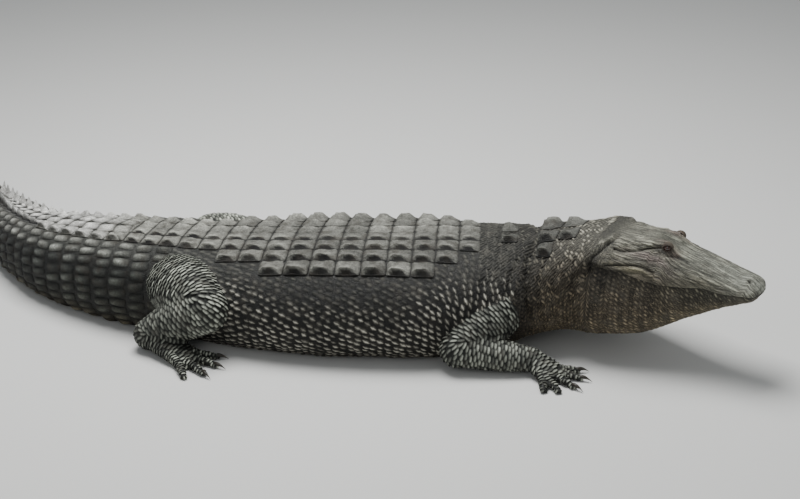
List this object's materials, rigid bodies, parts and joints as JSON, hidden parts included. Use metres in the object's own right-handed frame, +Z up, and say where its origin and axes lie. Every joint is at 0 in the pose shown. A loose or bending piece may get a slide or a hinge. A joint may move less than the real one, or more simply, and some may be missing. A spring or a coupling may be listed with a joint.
{
  "type": "american alligator",
  "caption": "Adult American alligator lying on its belly, head raised a little and turned to its right, tail swept to its left, keeled plates along the back.",
  "frame": {"origin": "on the floor under the middle of the belly", "axes": "+X towards the head along the trunk, +Y to the animal's left, +Z up"},
  "size_m": [2.8677, 1.6688, 0.3638],
  "materials": {
    "body_hide": "dull",
    "head_hide": "dull",
    "jowl_hide": "dull",
    "leg_hide": "dull",
    "tail_hide": "dull",
    "plates": "dull horn",
    "claws": "worn horn",
    "eye": "wet"
  },
  "bodies": {
    "root": {"ear_left": "head_hide", "ear_right": "head_hide", "eye_left": "eye", "eye_right": "eye", "foot_left": "leg_hide", "foot_right": "leg_hide", "forearm_left": "leg_hide", "forearm_right": "leg_hide", "hand_left": "leg_hide", "hand_right": "leg_hide", "head": "head_hide", "lower_jaw": "jowl_hide", "neck": "body_hide", "shank_left": "leg_hide", "shank_right": "leg_hide", "tail_1": "tail_hide", "tail_2": "tail_hide", "tail_3": "tail_hide", "tail_4": "tail_hide", "tail_5": "tail_hide", "thigh_left": "leg_hide", "thigh_right": "leg_hide", "torso_front": "body_hide", "torso_middle": "body_hide", "torso_rear": "body_hide", "upper_arm_left": "leg_hide", "upper_arm_right": "leg_hide"}
  },
  "joints": []
}
